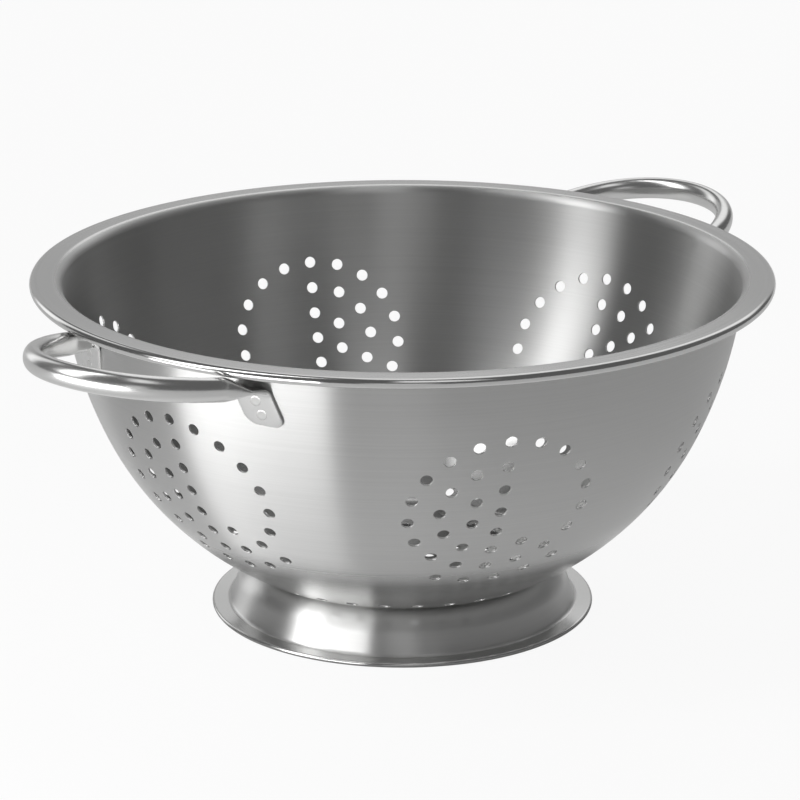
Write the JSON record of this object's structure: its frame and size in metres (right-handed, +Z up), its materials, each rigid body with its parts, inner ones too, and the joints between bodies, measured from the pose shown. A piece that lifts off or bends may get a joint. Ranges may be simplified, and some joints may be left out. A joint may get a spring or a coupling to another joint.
{
  "type": "colander",
  "caption": "Round perforated steel colander with a rolled rim, a flared foot ring and two bent tube handles, for draining food.",
  "frame": {"origin": "on the table under the foot, on the bowl's axis", "axes": "+Z up along the bowl's axis, X through the middle of both handles, Y across"},
  "size_m": [0.3514, 0.28, 0.1345],
  "materials": {
    "bowl_steel": "bright satin, turned",
    "foot_steel": "bright satin, turned",
    "handle_steel": "polished",
    "weld_steel": "dull pressed spot"
  },
  "bodies": {
    "root": {"bowl": "bowl_steel", "foot_ring": "foot_steel", "handle_left": "handle_steel", "handle_right": "handle_steel", "handle_left_welds": "weld_steel", "handle_right_welds": "weld_steel", "foot_welds": "weld_steel"}
  },
  "joints": []
}
